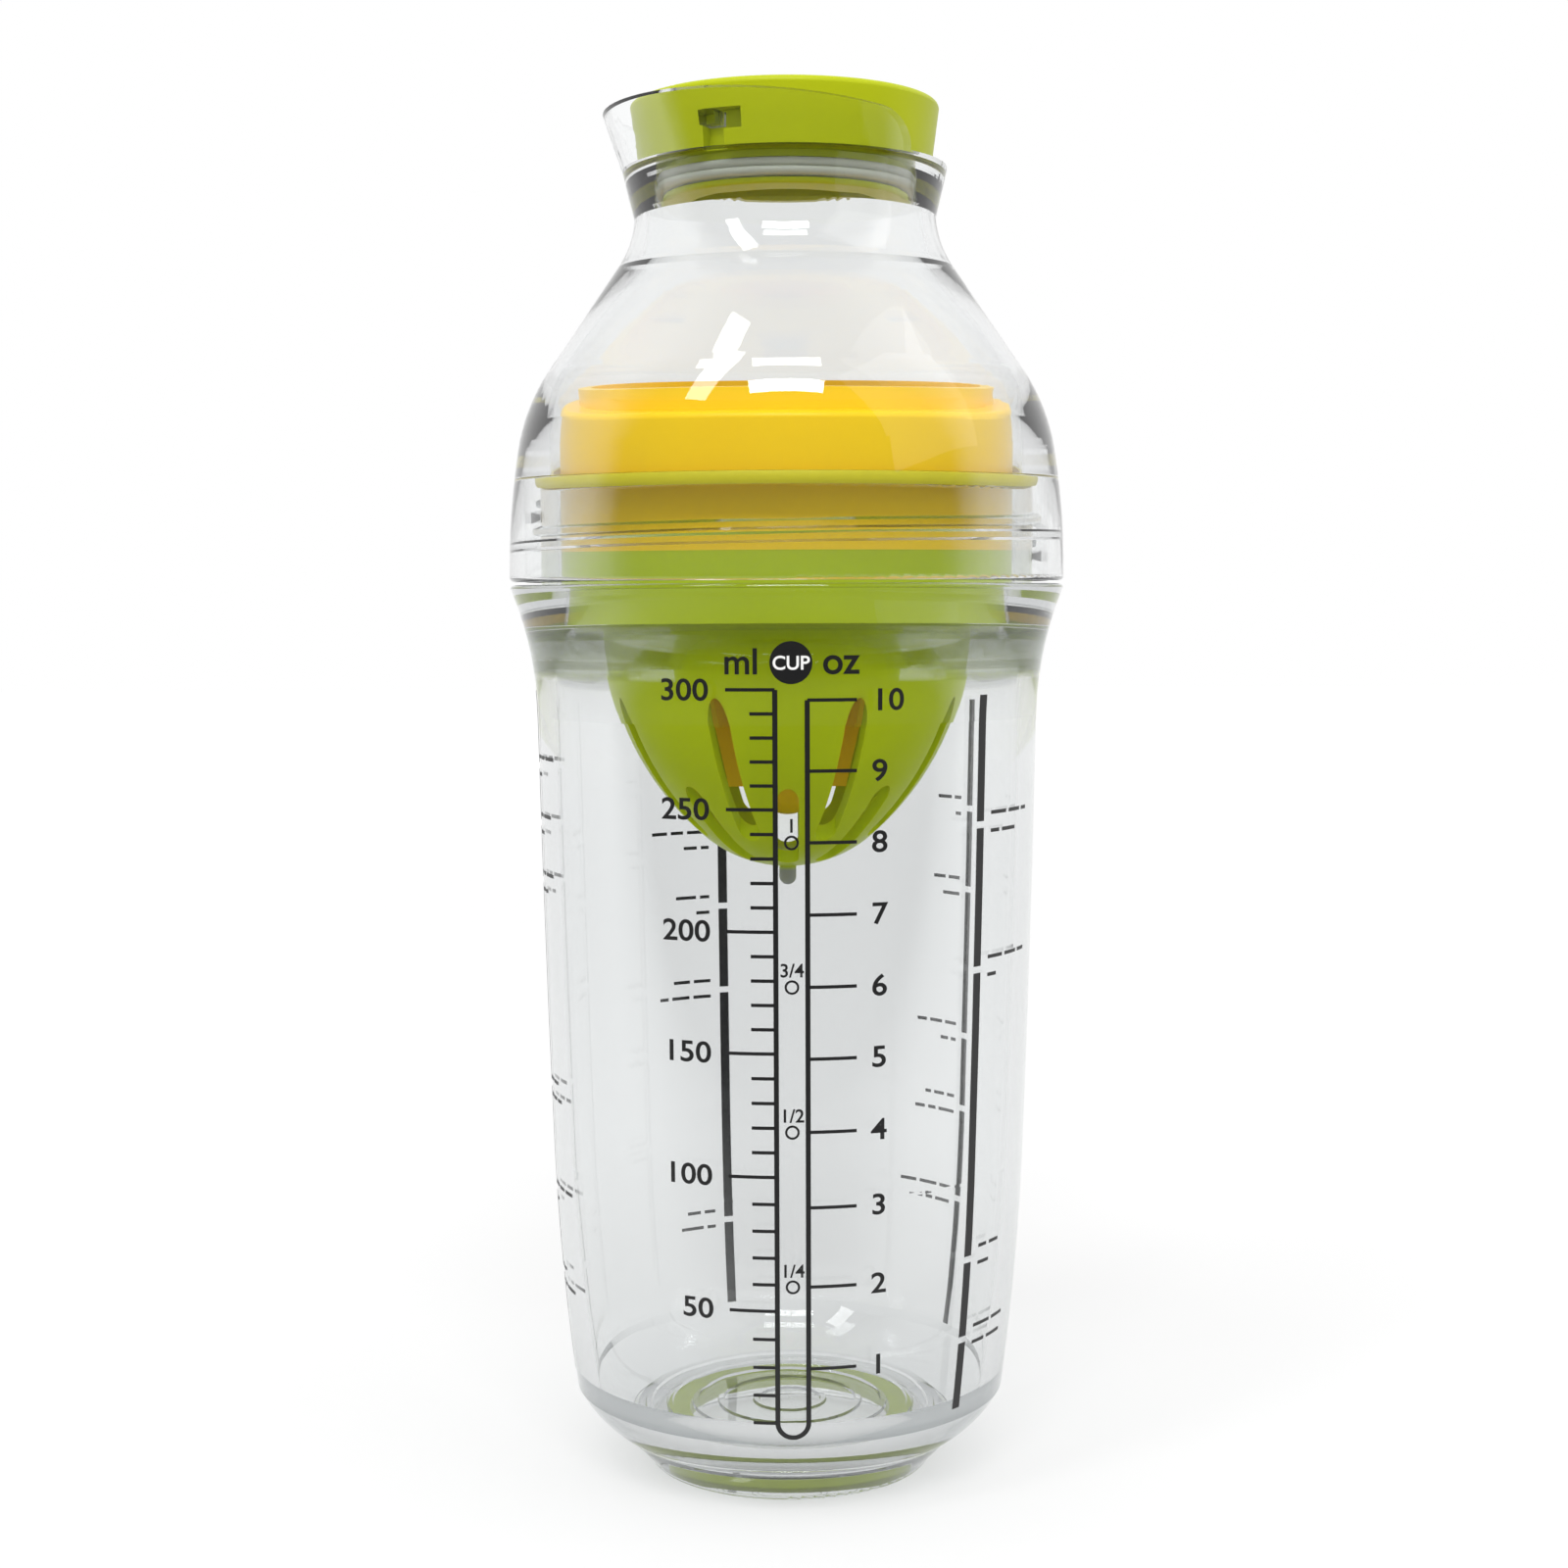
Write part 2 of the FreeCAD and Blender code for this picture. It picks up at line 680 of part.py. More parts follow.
# Lid.
lid = new_body("lid")
plug_low = groove_low - size.plug_end
plug_bore = plug_radius - size.plug_wall
lid_top = flange_top + size.lid_height
lid_top_radius = lid_low_radius + size.lid_flare
dish_radius = lid_top_radius - size.lid_rim_width
revolve(lid, "plug", [
    (plug_bore, plug_low),
    (plug_radius - size.plug_round, plug_low),
    (plug_radius, plug_low + size.plug_round, quarter(size.plug_round)),
    (plug_radius, groove_low),
    (groove_radius, groove_low),
    (groove_radius, groove_top),
    (plug_radius, groove_top),
    (plug_radius, flange_top),
    (lid_low_radius, flange_top),
    (lid_top_radius, lid_top - size.lid_round),
    (lid_top_radius - size.lid_round, lid_top, quarter(size.lid_round)),
    (dish_radius, lid_top),
    (dish_radius - size.dish_slope, lid_top - size.dish_depth),
    (NONE, lid_top - size.dish_depth),
    (NONE, lid_top - size.lid_plate),
    (plug_bore, lid_top - size.lid_plate),
])
lock_start = size.spout_bore - size.lock_gap
lock_end = lid_top_radius + size.overrun
lock_top = lug_top + size.lock_gap
half_lock = size.lug_width / 2 + size.lock_gap
lock_cuts = (
    ("lock_channel", flange_top - size.overrun, half_lock * 2, "Symmetric"),
    ("lock_branch", lug_low - size.lock_gap, half_lock + size.lock_travel, "One side"),
)
for name, low, width, side_type in lock_cuts:
    side = new_sketch(lid, f"{name}_side", "XZ_Plane", LUG_TURN)
    draw_loop(side, [
        (lock_start, low),
        (lock_end, low),
        (lock_end, lock_top),
        (lock_start, lock_top),
    ])
    extrude(lid, "Pocket", name, side, width, side_type)

# Seal of the lid.
lid_seal = new_body("lid_seal")
seal_low = groove_low + size.seal_end_gap
seal_top = groove_top - size.seal_end_gap
seal_bore = groove_radius + size.seal_side_gap
seal_body = size.spout_bore - size.seal_side_gap - size.seal_bead
revolve(lid_seal, "beads", [
    (seal_bore, seal_low),
    (seal_body, seal_low),
    (seal_body, (seal_low + seal_top) / 2, size.seal_bead),
    (seal_body, seal_top, size.seal_bead),
    (seal_bore, seal_top),
])

doc.recompute()
for item in doc.Objects:
    if "Invalid" in item.State or "Error" in item.State:
        raise RuntimeError(f"{item.Label} could not be built")

os.makedirs("parts", exist_ok=True)
for body in (container, base_pad, strainer, reamer, gasket, pour_top, lid, lid_seal):
    if body.Shape.isNull() or not body.Shape.isValid():
        raise RuntimeError(f"{body.Label} has no valid shape")
    body.Shape.exportStep(f"parts/{body.Label}.step")
    box = body.Shape.BoundBox
    print(f"{body.Label}: {len(body.Shape.Solids)} solid, volume {body.Shape.Volume:.0f}, "
          f"Z {box.ZMin:.2f} to {box.ZMax:.2f}, X {box.XMin:.2f} to {box.XMax:.2f}")
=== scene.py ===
# %% [markdown]
# # A shaker bottle for salad dressing
# The bottle is a clear moulded cup with a screwed pouring top. A lime strainer bowl stands in its neck, a
# yellow citrus reamer is stored upside down on the strainer, and a lime plug lid closes the spout.
# The CAD model gives every solid piece at its true size, in metres, and Blender never moves it. What is left
# for Blender is what a CAD file has no place for: the printed scale, the plastics, the light and the camera.

# %% Load the CAD frame
import math

import bmesh
import bpy
import numpy
from mathutils import Euler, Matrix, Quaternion, Vector


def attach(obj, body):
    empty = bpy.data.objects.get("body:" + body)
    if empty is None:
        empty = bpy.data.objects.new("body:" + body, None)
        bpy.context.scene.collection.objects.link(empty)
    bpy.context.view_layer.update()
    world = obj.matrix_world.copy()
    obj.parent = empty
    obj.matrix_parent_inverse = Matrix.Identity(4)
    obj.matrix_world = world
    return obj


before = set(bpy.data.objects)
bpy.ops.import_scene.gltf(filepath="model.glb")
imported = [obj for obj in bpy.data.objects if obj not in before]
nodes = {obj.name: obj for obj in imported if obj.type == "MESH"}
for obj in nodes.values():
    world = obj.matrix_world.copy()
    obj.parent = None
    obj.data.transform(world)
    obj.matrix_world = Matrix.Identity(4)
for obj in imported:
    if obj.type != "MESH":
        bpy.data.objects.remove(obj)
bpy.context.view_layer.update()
scene = bpy.context.scene
MM = 0.001
print("CAD pieces:", ", ".join(sorted(nodes)))

# %% [markdown]
# ## Colours and nodes
# Colours are easiest to read off as sRGB hex values, but a shader adds light in linear values, so one
# function turns the first into the second. A material is a small graph. The second function adds a node to
# such a graph, gives it its settings, and fills each socket with a fixed value or with a link from another
# node. The functions after it add the groups of nodes that come up again and again.

# %% Helpers for materials
def linear(hex_colour):
    """Turn an sRGB hex colour into linear red, green, blue and alpha."""
    shares = [int(hex_colour[at:at + 2], 16) / 255 for at in (1, 3, 5)]
    light = [share / 12.92 if share <= 0.04045 else ((share + 0.055) / 1.055) ** 2.4 for share in shares]
    return light + [1.0]


def add_node(tree, kind, sockets=None, **settings):
    """Add one node with its settings, and fill its sockets with values or links."""
    made = tree.nodes.new(kind)
    for name, value in settings.items():
        setattr(made, name, value)
    for name, value in (sockets or {}).items():
        if isinstance(value, bpy.types.NodeSocket):
            tree.links.new(value, made.inputs[name])
        else:
            made.inputs[name].default_value = value
    return made


def new_material(name):
    """Start an empty material and return it with its node tree."""
    material = bpy.data.materials.new(name)
    material.use_nodes = True
    material.node_tree.nodes.clear()
    return material, material.node_tree


def calculate(tree, operation, first, second, clamp=False):
    """Join two values, and keep the result between 0 and 1 if it is clamped."""
    made = add_node(tree, "ShaderNodeMath", {0: first, 1: second}, operation=operation, use_clamp=clamp)
    return made.outputs["Value"]


def ramp(tree, value, start, end, low=0.0, high=1.0):
    """Go from low to high while a value goes from start to end."""
    made = add_node(tree, "ShaderNodeMapRange", {
        "Value": value, "From Min": start, "From Max": end, "To Min": low, "To Max": high})
    return made.outputs["Result"]


def mix_values(tree, share, first, second):
    """Mix two values."""
    made = add_node(tree, "ShaderNodeMix", {"Factor": share, 2: first, 3: second}, data_type="FLOAT")
    return made.outputs[0]


def mix_colours(tree, share, first, second):
    """Mix two colours."""
    made = add_node(tree, "ShaderNodeMix", {"Factor": share, 6: first, 7: second}, data_type="RGBA")
    return made.outputs[2]


def own_place(tree):
    """The place in the piece's own space, in metres."""
    return add_node(tree, "ShaderNodeTexCoord").outputs["Object"]


def noise(tree, size, detail):
    """Soft random spots of about this size."""
    made = add_node(tree, "ShaderNodeTexNoise", {
        "Vector": own_place(tree), "Scale": 1 / size, "Detail": detail})
    return made.outputs["Fac"]


print("mid grey #808080 in linear light:", round(linear("#808080")[0], 3))

# %% [markdown]
# ## Clear plastic
# The cup and the pouring top are injection moulded in a clear copolyester, a tough plastic used for
# drinkware. Polished steel moulds leave it glossy, and the melt leaves very shallow flow waves. Glass-like
# shading with the plastic's own IOR bends the light in the thick corners. A long path inside a wall looks
# faintly grey and cool, which is absorption, so it belongs in the volume and not in the surface colour. The
# cup absorbs more than the top.
#
# Some rays pass the walls unbent, which real plastic doesn't allow. Rays that light the pieces inside do, so
# that those are as bright as behind real clear walls. In the cup, rays that were mirrored twice or more do,
# because the thick foot would hold them up to the renderer's limit on bounces and turn black. For the top
# that number is set out of reach, which keeps its outline grey. At the height of the shelf in the cup's neck
# a share of all rays does, because the shelf would otherwise cut the view of the strainer in two.

# %% Moulded clear copolyester
COPOLYESTER_IOR = 1.57
FLOW_WAVE, FLOW_DEPTH = 18 * MM, 0.05 * MM
SHELF_FOOT, SHELF_TOP, SHELF_FADE = 112.4 * MM, 118.6 * MM, 1 * MM
clear = {}
for piece, density, mirrorings, unbent_shelf in (("cup", 85.0, 1.5, 0.55), ("top", 46.0, 9.5, 0.0)):
    clear[piece], tree = new_material("moulded_clear_copolyester_" + piece)
    waves = add_node(tree, "ShaderNodeBump", {
        "Height": noise(tree, FLOW_WAVE, 1.0), "Strength": 0.25, "Distance": FLOW_DEPTH})
    wall = add_node(tree, "ShaderNodeBsdfPrincipled", {
        "Base Color": linear("#FDFEFE"), "Roughness": 0.015, "IOR": COPOLYESTER_IOR,
        "Transmission Weight": 1.0, "Normal": waves.outputs["Normal"]})
    unbent = add_node(tree, "ShaderNodeBsdfTransparent", {"Color": linear("#FAFBFB")})
    path = add_node(tree, "ShaderNodeLightPath").outputs
    lighting = calculate(tree, "ADD", path["Is Shadow Ray"], path["Diffuse Depth"])
    trapped = calculate(tree, "GREATER_THAN", path["Glossy Depth"], mirrorings)
    straight = calculate(tree, "ADD", lighting, trapped, clamp=True)
    height = add_node(tree, "ShaderNodeSeparateXYZ", {"Vector": own_place(tree)}).outputs["Z"]
    over_foot = ramp(tree, height, SHELF_FOOT, SHELF_FOOT + SHELF_FADE, 0.0, unbent_shelf)
    under_top = ramp(tree, height, SHELF_TOP, SHELF_TOP + SHELF_FADE, 1.0, 0.0)
    shelf = calculate(tree, "MULTIPLY", over_foot, under_top)
    straight = calculate(tree, "ADD", straight, shelf, clamp=True)
    either = add_node(tree, "ShaderNodeMixShader", {
        0: straight, 1: wall.outputs["BSDF"], 2: unbent.outputs["BSDF"]})
    tint = add_node(tree, "ShaderNodeVolumeAbsorption", {"Color": linear("#C6C8C9"), "Density": density})
    add_node(tree, "ShaderNodeOutputMaterial", {
        "Surface": either.outputs["Shader"], "Volume": tint.outputs["Volume"]})
    print("clear plastic of the", piece, "with flow waves every", FLOW_WAVE / MM, "mm")

# %% [markdown]
# ## Lime lid
# The lid is moulded polypropylene in an opaque lime. Its mould was spark eroded, which prints a fine, even
# grain on the plastic and gives a soft satin sheen. Light also goes a little way into polypropylene, so a
# small share of it is scattered below the surface. The real grain is about 0.05 mm. It is drawn coarser so
# that it shows in the render.

# %% Satin polypropylene
POLYPROPYLENE_IOR = 1.49
GRAIN, PIT_DEPTH = 0.6 * MM, 0.03 * MM
lime_lid, tree = new_material("spark_eroded_lime_polypropylene")
grain = noise(tree, GRAIN, 3.0)
pits = add_node(tree, "ShaderNodeBump", {"Height": grain, "Strength": 0.15, "Distance": PIT_DEPTH})
skin = add_node(tree, "ShaderNodeBsdfPrincipled", {
    "Base Color": linear("#AAB400"), "Roughness": ramp(tree, grain, 0.0, 1.0, 0.34, 0.46),
    "IOR": POLYPROPYLENE_IOR, "Specular IOR Level": 0.2, "Subsurface Weight": 0.15,
    "Subsurface Radius": (1.5 * MM, 1.5 * MM, 0.3 * MM), "Subsurface Scale": 1.0,
    "Normal": pits.outputs["Normal"]})
add_node(tree, "ShaderNodeOutputMaterial", {"Surface": skin.outputs["BSDF"]})
print("lime lid: grain of", GRAIN / MM, "mm")

# %% [markdown]
# ## Strainer
# The strainer bowl is thin polypropylene with little pigment, from a polished mould. Light soaks through it
# and brightens its shaded side and what is behind it. To the eye the wall is closed, and only for rays that
# carry light to a surface does it let a share of them through, tinted. The nub under the bowl is the stub of
# the moulding gate, and it is coloured grey.

# %% Translucent polypropylene
BOWL_APEX, NUB_FADE = 85.7 * MM, 0.6 * MM
CLOUD = 12 * MM
SOAK = 0.6
lime_bowl, tree = new_material("polished_translucent_lime_polypropylene")
height = add_node(tree, "ShaderNodeSeparateXYZ", {"Vector": own_place(tree)}).outputs["Z"]
above_nub = ramp(tree, height, BOWL_APEX - NUB_FADE, BOWL_APEX)
pigment = mix_colours(tree, noise(tree, CLOUD, 2.0), linear("#B8CA04"), linear("#C2D40A"))
skin = add_node(tree, "ShaderNodeBsdfPrincipled", {
    "Base Color": mix_colours(tree, above_nub, linear("#9A9C94"), pigment), "Roughness": 0.32,
    "IOR": POLYPROPYLENE_IOR, "Specular IOR Level": 0.12, "Subsurface Weight": 0.3,
    "Subsurface Radius": (3 * MM, 3 * MM, 0.5 * MM), "Subsurface Scale": 1.0})
path = add_node(tree, "ShaderNodeLightPath").outputs
lighting = calculate(tree, "ADD", path["Is Shadow Ray"], path["Diffuse Depth"], clamp=True)
soaked = calculate(tree, "MULTIPLY", lighting, SOAK)
through = add_node(tree, "ShaderNodeBsdfTransparent", {"Color": linear("#F0F4A0")})
either = add_node(tree, "ShaderNodeMixShader", {
    0: soaked, 1: skin.outputs["BSDF"], 2: through.outputs["BSDF"]})
add_node(tree, "ShaderNodeOutputMaterial", {"Surface": either.outputs["Shader"]})
print("strainer: the nub is grey below", round(BOWL_APEX / MM, 1), "mm")

# %% [markdown]
# ## Reamer
# The reamer is opaque yellow polypropylene from a polished mould. It is glossier than the lid, with slow flow
# waves that break up its highlights.

# %% Polished yellow polypropylene
yellow_reamer, tree = new_material("polished_yellow_polypropylene")
flow = noise(tree, FLOW_WAVE, 2.0)
waves = add_node(tree, "ShaderNodeBump", {"Height": flow, "Strength": 0.3, "Distance": 2 * FLOW_DEPTH})
skin = add_node(tree, "ShaderNodeBsdfPrincipled", {
    "Base Color": mix_colours(tree, flow, linear("#FFCE08"), linear("#FFD60E")), "Roughness": 0.3,
    "IOR": POLYPROPYLENE_IOR, "Specular IOR Level": 0.2, "Normal": waves.outputs["Normal"]})
add_node(tree, "ShaderNodeOutputMaterial", {"Surface": skin.outputs["BSDF"]})
print("reamer: flow waves every", FLOW_WAVE / MM, "mm")

# %% [markdown]
# ## Rubber
# The gasket and the pad under the foot are moulded silicone rubber, the gasket in a yellowish lime and the
# pad in a greener one. Silicone is matt and slightly dusty to the eye. The ring on the lid's plug is the same
# rubber without pigment, so it looks milky.

# %% Moulded silicone, coloured and clear
SILICONE_IOR = 1.41
DUST, DUST_DETAIL = 1.5 * MM, 4.0
silicone = {}
for piece, dark, light in (("gasket", "#BEB404", "#C8BE0E"), ("pad", "#98A80A", "#A4B414")):
    silicone[piece], tree = new_material("moulded_lime_silicone_" + piece)
    dust = noise(tree, DUST, DUST_DETAIL)
    skin = add_node(tree, "ShaderNodeBsdfPrincipled", {
        "Base Color": mix_colours(tree, dust, linear(dark), linear(light)),
        "Roughness": ramp(tree, dust, 0.0, 1.0, 0.5, 0.65), "IOR": SILICONE_IOR})
    add_node(tree, "ShaderNodeOutputMaterial", {"Surface": skin.outputs["BSDF"]})

milky_silicone, tree = new_material("moulded_milky_silicone")
dull = ramp(tree, noise(tree, DUST, DUST_DETAIL), 0.0, 1.0, 0.35, 0.5)
skin = add_node(tree, "ShaderNodeBsdfPrincipled", {
    "Base Color": linear("#DDE0D2"), "Roughness": dull, "IOR": SILICONE_IOR, "Transmission Weight": 0.5})
add_node(tree, "ShaderNodeOutputMaterial", {"Surface": skin.outputs["BSDF"]})
print("silicone: dust specks of", DUST / MM, "mm")

# %% [markdown]
# ## Dressing
# Each CAD piece comes with one material slot, and its finish goes there. The meshes stay as they are.

# %% Dress the CAD pieces
finishes = {
    "container": clear["cup"], "pour_top": clear["top"], "lid": lime_lid, "strainer": lime_bowl,
    "reamer": yellow_reamer, "gasket": silicone["gasket"], "base_pad": silicone["pad"],
    "lid_seal": milky_silicone}
for name, finish in finishes.items():
    nodes[name].material_slots[0].material = finish
    print(name, "is", finish.name)

# %% [markdown]
# ## Printed scale
# The scale on the front is screen printed in black on the outside of the cup. It could be a texture, but a
# texture blurs when the camera comes close, while ink is really a thin layer with sharp edges. So each mark
# is a thin sheet of mesh, drawn flat in millimetres (u round the wall to the right, z up) and then wrapped on
# the wall. The wall's radius at each height is read off the CAD cup with rays, so the ink follows its taper.

# %% Read the wall of the cup
WALL_FOOT, WALL_TOP, OUTSIDE = 9.0, 122.0, -100 * MM
heights = numpy.arange(WALL_FOOT, WALL_TOP, 1.0) * MM
radii = []
for height in heights:
    spot = nodes["container"].ray_cast(Vector((0, OUTSIDE, height)), Vector((0, 1, 0)))[1]
    radii.append(-spot.y)
print("wall radius in mm, foot to shoulder:", round(radii[0] / MM, 2), "to", round(radii[-1] / MM, 2))

# %% [markdown]
# ## Marks on the wall
# Four functions make the marks: one finds a place on the wall, one draws strokes along a line of points, one
# gives the points of an arc, and one sets letters in Blender's own font. The last function here turns
# finished marks into a piece that rides on the cup.

# %% Wrap flat marks on the wall
INK_LIFT = 0.06 * MM
DIGIT_HEIGHT = 0.69  # A digit of Blender's own font, in a text of size 1.
LETTER_SPREAD = 0.016  # Ink spreads a little past the edge of a letter.
LETTER_STEPS = 5


def on_wall(u, z, turn=0.0, lift=INK_LIFT):
    """Where a flat mark at u, z in mm lands on the cup, turned from the front by some degrees."""
    radius = float(numpy.interp(z * MM, heights, radii))
    angle = math.radians(turn) + u * MM / radius
    radius += lift
    return Vector((radius * math.sin(angle), -radius * math.cos(angle), z * MM))


def print_stroke(ink, points, width, turn=0.0, step=1.0):
    """Add a stroke of even width along a line of flat points."""
    dense = [Vector(points[0])]
    for start, end in zip(points, points[1:]):
        start, end = Vector(start), Vector(end)
        count = max(1, math.ceil((end - start).length / step))
        dense += [start.lerp(end, part / count) for part in range(1, count + 1)]
    rails = []
    for at, spot in enumerate(dense):
        before, after = dense[max(at - 1, 0)], dense[min(at + 1, len(dense) - 1)]
        if dense[0] == dense[-1] and at in (0, len(dense) - 1):
            before, after = dense[-2], dense[1]
        along = (after - before).normalized()
        side = Vector((-along.y, along.x)) * width / 2
        rails.append([ink.verts.new(on_wall(*edge, turn)) for edge in (spot + side, spot - side)])
    for (left, right), (next_left, next_right) in zip(rails, rails[1:]):
        ink.faces.new((left, right, next_right, next_left))


def arc(centre_u, centre_z, radius, start, end, count=24):
    """Flat points on an arc, with its angles in degrees from the right and upwards."""
    angles = [math.radians(start + (end - start) * part / count) for part in range(count + 1)]
    return [(centre_u + radius * math.cos(angle), centre_z + radius * math.sin(angle)) for angle in angles]


def print_words(ink, words, u, z, height, align, stretch=1.0, lift=INK_LIFT):
    """Add letters or digits with their foot at z and a digit's height."""
    curve = bpy.data.curves.new("letters", "FONT")
    curve.body, curve.align_x, curve.resolution_u, curve.offset = words, align, LETTER_STEPS, LETTER_SPREAD
    letters = bpy.data.objects.new("letters", curve)
    scene.collection.objects.link(letters)
    flat = bpy.data.meshes.new_from_object(letters.evaluated_get(bpy.context.evaluated_depsgraph_get()))
    scale = height / DIGIT_HEIGHT
    spots = []
    for corner in flat.vertices:
        place = on_wall(u + corner.co.x * scale * stretch, z + corner.co.y * scale, lift=lift)
        spots.append(ink.verts.new(place))
    for face in flat.polygons:
        ink.faces.new([spots[corner] for corner in face.vertices])
    bpy.data.objects.remove(letters)
    bpy.data.curves.remove(curve)
    bpy.data.meshes.remove(flat)


def ink_piece(name, ink, finish):
    """Turn finished marks into a piece that rides on the cup."""
    bmesh.ops.recalc_face_normals(ink, faces=ink.faces)
    mesh = bpy.data.meshes.new(name)
    ink.to_mesh(mesh)
    ink.free()
    mesh.shade_smooth()
    mesh.materials.append(finish)
    piece = bpy.data.objects.new(name, mesh)
    scene.collection.objects.link(piece)
    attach(piece, "container")
    print(name, "has", len(mesh.polygons), "faces")


print("a mark 10 mm to the right at 60 mm is at", [round(side / MM, 2) for side in on_wall(10, 60)], "mm")

# %% [markdown]
# ## Screen printing ink
# Screen ink is a thick, slightly matt film. It is not quite black, and the mesh of the screen leaves a fine
# unevenness in it. The screen's real mesh is about 0.15 mm. It is drawn coarser so that it shows.

# %% Black and white ink
SCREEN = 0.4 * MM
inks = {}
for shade, dark, light in (("black", "#0B0B0C", "#151516"), ("white", "#F0F0EE", "#FAFAF8")):
    inks[shade], tree = new_material("screen_printed_" + shade + "_ink")
    film = add_node(tree, "ShaderNodeBsdfPrincipled", {
        "Base Color": mix_colours(tree, noise(tree, SCREEN, 2.0), linear(dark), linear(light)),
        "Roughness": 0.5, "IOR": 1.5})
    add_node(tree, "ShaderNodeOutputMaterial", {"Surface": film.outputs["BSDF"]})
    print(shade, "ink with a screen mesh of", SCREEN / MM, "mm")

# %% [markdown]
# ## Marks of the scale
# Only the numbered millilitre marks are listed. The marks between them are evenly spaced, and the
# ounce and cup marks come from the same scale, because an ounce is 29.57 ml and a cup is eight ounces.

# %% Column, ticks and numbers
MARKED_ML = [10, 50, 100, 150, 200, 250, 300]
MARKED_Z = [14.74, 30.41, 48.54, 64.86, 80.71, 96.4, 111.59]
OUNCE = 29.57
LEFT_LINE, RIGHT_LINE, COLUMN_FOOT = -1.62, 2.46, 14.75
MIDDLE = (LEFT_LINE + RIGHT_LINE) / 2
LINE, TICK, RING_LINE, DISC_LINE = 0.66, 0.45, 0.3, 0.92
LONG_TICK, SHORT_TICK, OUNCE_TICK = -7.95, -4.85, 8.85
ML_NUMBERS, OUNCE_NUMBERS, NUMBER_HEIGHT = -10.1, 10.8, 2.7
WIDE = 1.16  # The numbers are wider than those of the font.
CUP_RING, CUP_NUMBER_RISE, CUP_HEIGHT = 0.8, 1.35, 1.7
HEADING_FOOT, DISC_Z = 113.6, 115.0


def level(millilitres):
    """Height of a level of the scale, in mm."""
    return float(numpy.interp(millilitres, MARKED_ML, MARKED_Z))


scale_ink = bmesh.new()
print_stroke(scale_ink, [(LEFT_LINE, level(300)), (LEFT_LINE, COLUMN_FOOT)], LINE)
print_stroke(scale_ink, [(RIGHT_LINE, level(10 * OUNCE)), (RIGHT_LINE, COLUMN_FOOT)], LINE)
print_stroke(scale_ink, arc(MIDDLE, COLUMN_FOOT, (RIGHT_LINE - LEFT_LINE) / 2, 180, 360), LINE)
for amount in range(10, 301, 10):
    reach = LONG_TICK if amount % 50 == 0 else SHORT_TICK
    print_stroke(scale_ink, [(reach, level(amount)), (LEFT_LINE, level(amount))], TICK)
for amount in range(50, 301, 50):
    foot = level(amount) - NUMBER_HEIGHT / 2
    print_words(scale_ink, str(amount), ML_NUMBERS, foot, NUMBER_HEIGHT, "RIGHT", WIDE)
for amount in range(1, 11):
    at = level(amount * OUNCE)
    print_stroke(scale_ink, [(RIGHT_LINE, at), (OUNCE_TICK, at)], TICK)
    foot = at - NUMBER_HEIGHT / 2
    print_words(scale_ink, str(amount), OUNCE_NUMBERS, foot, NUMBER_HEIGHT, "LEFT", WIDE)
for cups, amount in (("1/4", 2), ("1/2", 4), ("3/4", 6), ("1", 8)):
    at = level(amount * OUNCE)
    print_stroke(scale_ink, arc(MIDDLE, at, CUP_RING, 0, 360), RING_LINE, step=0.4)
    print_words(scale_ink, cups, MIDDLE, at + CUP_NUMBER_RISE, CUP_HEIGHT, "CENTER")
for unit, u, height in (("ml", -5.9, 3.2), ("oz", 6.75, 3.4)):
    print_words(scale_ink, unit, u, HEADING_FOOT, height, "CENTER")
for radius in (0.45, 1.35, 2.25):
    print_stroke(scale_ink, arc(MIDDLE, DISC_Z, radius, 0, 360, 36), DISC_LINE, step=0.5)
ink_piece("printed_scale", scale_ink, inks["black"])

# %% [markdown]
# ## Columns round the cup
# Four columns of notes are printed round the rest of the cup. Each has a black bar at its left, which is
# broken at the levels that the notes belong to. The notes are left as plain dashes, as long as words, which
# keep the grey of small print without any words. A random generator with a fixed seed gives their lengths.

# %% Bars and dashes
COLUMNS = {
    47: [93.4, 74.1, 34.5, 23.2], 122.5: [92, 80, 58, 47, 33],
    198: [86, 76, 63, 26.8], 273.5: [100, 92, 84, 55, 40, 28]}
BAR_WIDTH, BAR_GAP, BAR_TOP, BAR_FOOT = 1.5, 0.9, 110.9, 12.9
NOTE_START, NOTE_LINES, WORD_GAP, DASH = 2.3, (1.5, -0.9), 0.7, 0.5
FEWEST_WORDS, MOST_WORDS, SHORTEST_WORD, LONGEST_WORD = 1, 3, 1.2, 4.2
draws = numpy.random.default_rng(7)
bar_ink, note_ink = bmesh.new(), bmesh.new()
for turn, levels in COLUMNS.items():
    ends = [BAR_TOP] + levels + [BAR_FOOT]
    for top, foot in zip(ends, ends[1:]):
        print_stroke(bar_ink, [(0, top - BAR_GAP / 2), (0, foot + BAR_GAP / 2)], BAR_WIDTH, turn, step=2.0)
    for at in levels:
        for line in NOTE_LINES:
            u = NOTE_START
            for _ in range(int(draws.integers(FEWEST_WORDS, MOST_WORDS + 1))):
                reach = u + draws.uniform(SHORTEST_WORD, LONGEST_WORD)
                print_stroke(note_ink, [(u, at + line), (reach, at + line)], DASH, turn)
                u = reach + WORD_GAP
ink_piece("printed_bars", bar_ink, inks["black"])
ink_piece("printed_notes", note_ink, inks["black"])

# %% [markdown]
# ## White ink on the disc
# The word on the black disc is printed last, in white, on top of the black. It gets a slightly larger lift so
# that the two films don't share one surface.

